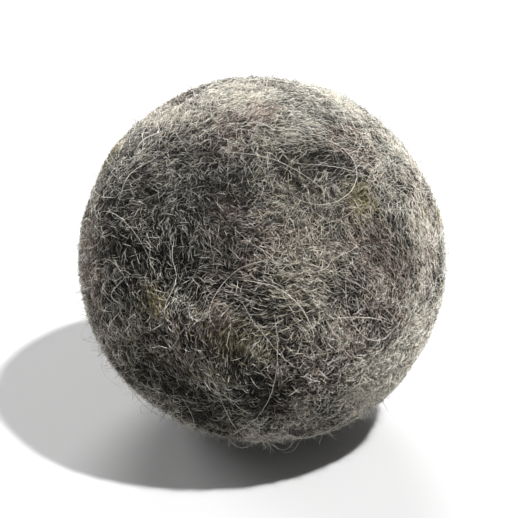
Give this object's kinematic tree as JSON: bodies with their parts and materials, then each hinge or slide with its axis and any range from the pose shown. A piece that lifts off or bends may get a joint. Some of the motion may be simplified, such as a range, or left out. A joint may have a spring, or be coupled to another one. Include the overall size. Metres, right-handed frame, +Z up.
{
  "type": "dryer ball",
  "caption": "Round hand-felted wool dryer ball in marled grey and brown fleece, wound over a yarn core, with a small rest flat.",
  "frame": {"origin": "middle of the small flat that the ball rests on, straight below the ball's middle", "axes": "+Z up from the flat through the ball's middle; -Y is the front that the picture shows; +X to its right"},
  "size_m": [0.072, 0.072, 0.0713],
  "materials": {
    "core_yarn": "matte",
    "pale_roving": "matte",
    "grey_roving": "matte",
    "grey_fleece": "matte",
    "charcoal_wool": "matte",
    "beige_wool": "matte",
    "brown_wool": "matte",
    "cream_wool": "matte",
    "olive_wool": "matte"
  },
  "bodies": {
    "root": {"yarn_core": "core_yarn", "first_wrap": "pale_roving", "second_wrap": "pale_roving", "third_wrap": "grey_roving", "fourth_wrap": "grey_roving", "outer_fleece": "grey_fleece", "closing_tuft": "grey_fleece", "charcoal_lock_front": "charcoal_wool", "beige_lock_front": "beige_wool", "olive_lock_front": "olive_wool", "brown_lock_right": "brown_wool", "cream_lock_top": "cream_wool", "cream_lock_low": "cream_wool", "brown_lock_left": "brown_wool", "charcoal_lock_back": "charcoal_wool", "beige_lock_back": "beige_wool"}
  },
  "joints": []
}
